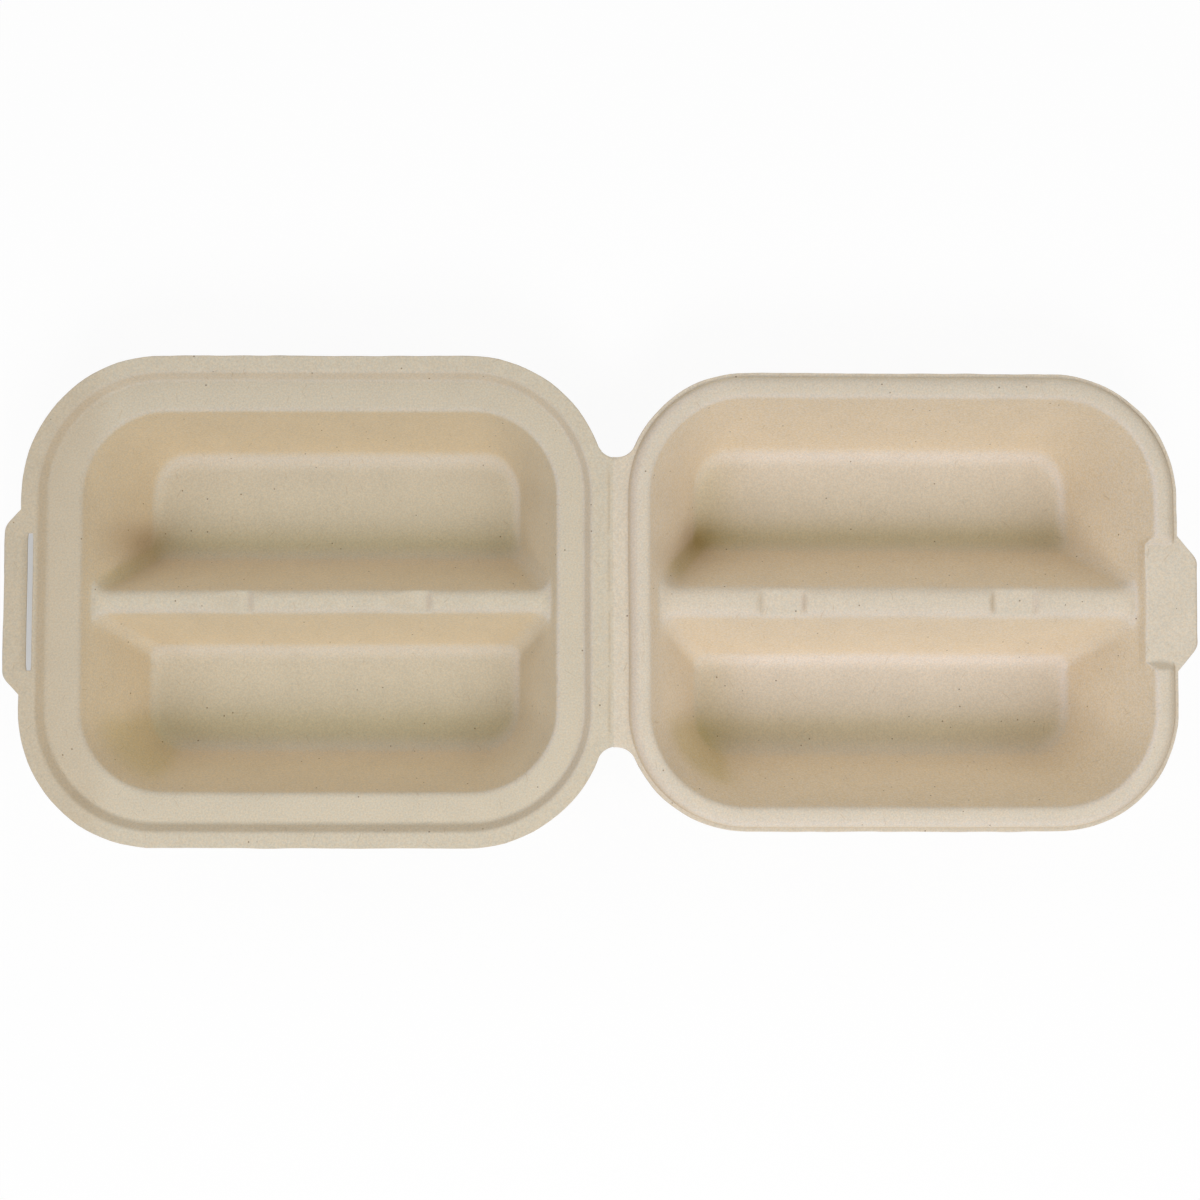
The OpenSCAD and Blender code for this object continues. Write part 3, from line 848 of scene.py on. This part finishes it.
def fibreFinish(name, look):
    f = Finish(name)
    paints = ("flat", "steep", "warm", "cool", "strand", "speck", "paintedShade")
    paint = {key: fromPaint(*look[key]) for key in paints}
    lean, below, paintedShade, shadeAndLight = [f.add("ShaderNodeAttribute", {"attribute_name": key}, out="Fac")
                                   for key in ("lean", "below", "paintedShade", "shadeAndLight")]
    at = f.add("ShaderNodeTexCoord", out="Object")
    mottle = f.noise(at, look["mottle"], 3.0)
    grain = f.noise(at, look["grain"], 2.0, 0.6)
    tint = f.noise(at, look["tint"], 2.0, 0.55)
    white = (1.0, 1.0, 1.0)
    # the steep colour on walls holds painted light and shade
    colour = f.mix(lean, paint["flat"], paint["steep"])
    colour = f.mix(f.step(tint, *look["tintWarm"]) * look["tintShare"], colour, paint["warm"])
    cool = f.step(tint, *look["tintCool"]) * look["tintShare"] * (1 - lean * look["coolLoss"])
    colour = f.mix(cool, colour, paint["cool"])
    colour = colour * (white + ((tint - 0.5) * lean) * look["wallTint"])
    # strands: a thin slab through each cell, cut short round the cell's middle
    distance, pick, middle = f.cells(at, look["strandCells"])
    odds = f.add("ShaderNodeSeparateColor", {}, {"Color": pick})
    axis = f.add("ShaderNodeVectorMath", {"operation": "NORMALIZE"}, {0: pick - (0.5, 0.5, 0.5)})
    offset = f.add("ShaderNodeVectorMath", {"operation": "DOT_PRODUCT"}, {0: at - middle, 1: axis},
                   out="Value")
    strand = f.step(abs(offset), *look["strandHalf"]) * f.step(distance, *look["strandEnd"])
    strand = strand * f.step(odds, *look["strandOdds"])
    colour = f.mix(strand * look["strandShare"], colour, paint["strand"])
    near, pick, _ = f.cells(at, look["speckCells"])
    odds = f.add("ShaderNodeSeparateColor", {}, {"Color": pick})
    speck = f.step(near, *look["speckSize"]) * f.step(odds, *look["speckOdds"])
    colour = f.mix(speck * look["speckShare"], colour, paint["speck"])
    # painted shade, brown, in creases, pockets, on the lid's step and at the seats' edges
    colour = f.mix(paintedShade * look["paintedShadeShare"], colour, paint["paintedShade"])
    # painted shade and painted highlight in the troughs
    colour = colour * (white + shadeAndLight * tuple(c - 1 for c in look["shadeAndLight"]))
    shade = 1 + (mottle - 0.5) * look["mottleDepth"] + (grain - 0.5) * look["grainDepth"]
    f.feed(f.shader.inputs["Base Color"], colour * shade)
    f.feed(f.shader.inputs["Roughness"], look["roughness"] + (grain - 0.5) * look["roughnessVary"])
    f.shader.inputs["Specular IOR Level"].default_value = look["specular"]
    # pulp grain all over, and the forming screen's print on the under side
    weave = f.add("ShaderNodeVectorMath", {"operation": "SINE"}, {0: at * look["screen"]})
    weaveX, weaveY = f.parts(weave, "XY")
    rise = look["rise"]
    height = grain * rise["grain"] + mottle * rise["mottle"] + strand * rise["strand"]
    height = height + weaveX * weaveY * below * rise["screen"]
    sockets = {"Strength": look["bump"], "Distance": look["bumpDepth"], "Height": height}
    f.feed(f.shader.inputs["Normal"], f.add("ShaderNodeBump", {}, sockets))
    return f.material


# the floor, metres

floorLook = {
    "half": 3.0, "drop": 0.0008, "roughness": 0.9,
    "lift": 0.93, "liftUnder": 0.30,       # share of its white that shade doesn't reach
    "colour": 0.93, "colourUnder": 0.55,   # its grey in the open, and a painted shadow under the slot
    # the shade under the slot: its middle, half sizes from clear to full, and the cover that brings it
    "shadeX": -0.2079, "shadeHalf": (0.0042, 0.0016), "shadeEnd": (0.0310, 0.0255),
    "cover": (1.0, 0.80), "coverReach": 0.06, "coverSamples": 12,
}


def floorFinish():
    f, look = Finish("floor_white"), floorLook
    f.shader.inputs["Roughness"].default_value = look["roughness"]
    f.shader.inputs["Specular IOR Level"].default_value = 0.0
    glow = f.add("ShaderNodeEmission", {}, {"Color": (1, 1, 1, 1), "Strength": 1.0})
    seen = f.add("ShaderNodeLightPath", out="Is Camera Ray")
    # a soft shade close under the flap, while the lid is over it, shows through the slot
    x, y = f.parts(f.add("ShaderNodeTexCoord", out="Object"), "XY")
    sky = f.add("ShaderNodeAmbientOcclusion", {"samples": look["coverSamples"]},
                {"Distance": look["coverReach"]}, out="AO")
    covered = f.step(abs(x - look["shadeX"]), *look["shadeHalf"]) * f.step(abs(y), *look["shadeEnd"])
    covered = covered * f.step(sky, *look["cover"])
    lift = look["lift"] + covered * (look["liftUnder"] - look["lift"])
    inOpen, underSlot = [(look[k],) * 3 + (1.0,) for k in ("colour", "colourUnder")]
    f.feed(f.shader.inputs["Base Color"], f.mix(covered, inOpen, underSlot))
    mixed = f.add("ShaderNodeMixShader", {}, {0: seen * lift, 1: Wire(f, f.shader.outputs[0]), 2: glow})
    f.feed(f.tree.nodes["Material Output"].inputs["Surface"], mixed)
    return f.material


def makeFloor():
    half, z = floorLook["half"], -floorLook["drop"]
    corners = [(-half, -half, z), (half, -half, z), (half, half, z), (-half, half, z)]
    mesh = bpy.data.meshes.new("floor")
    mesh.from_pydata(corners, [], [[0, 1, 2, 3]])
    obj = bpy.data.objects.new("floor", mesh)
    bpy.context.scene.collection.objects.link(obj)
    mesh.materials.append(floorFinish())
    print("floor laid")


makeStudio()
makeFloor()
baseFinish = fibreFinish("base_pulp_lit", litBaseFibre)
lidFinish = fibreFinish("lid_pulp_shaded", shadedLidFibre)
print("finishes mixed")
base = makeHalf("base", "base_shell")
lid = makeHalf("lid", "lid_shell")
fold = makeFold()
for piece, finish in ((base, baseFinish), (lid, lidFinish), (fold, lidFinish)):
    piece.data.materials.append(finish)
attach(base, "base")
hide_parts("base_tray")
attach(lid, "lid")
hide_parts("lid")
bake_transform(fold)
print("pieces placed")
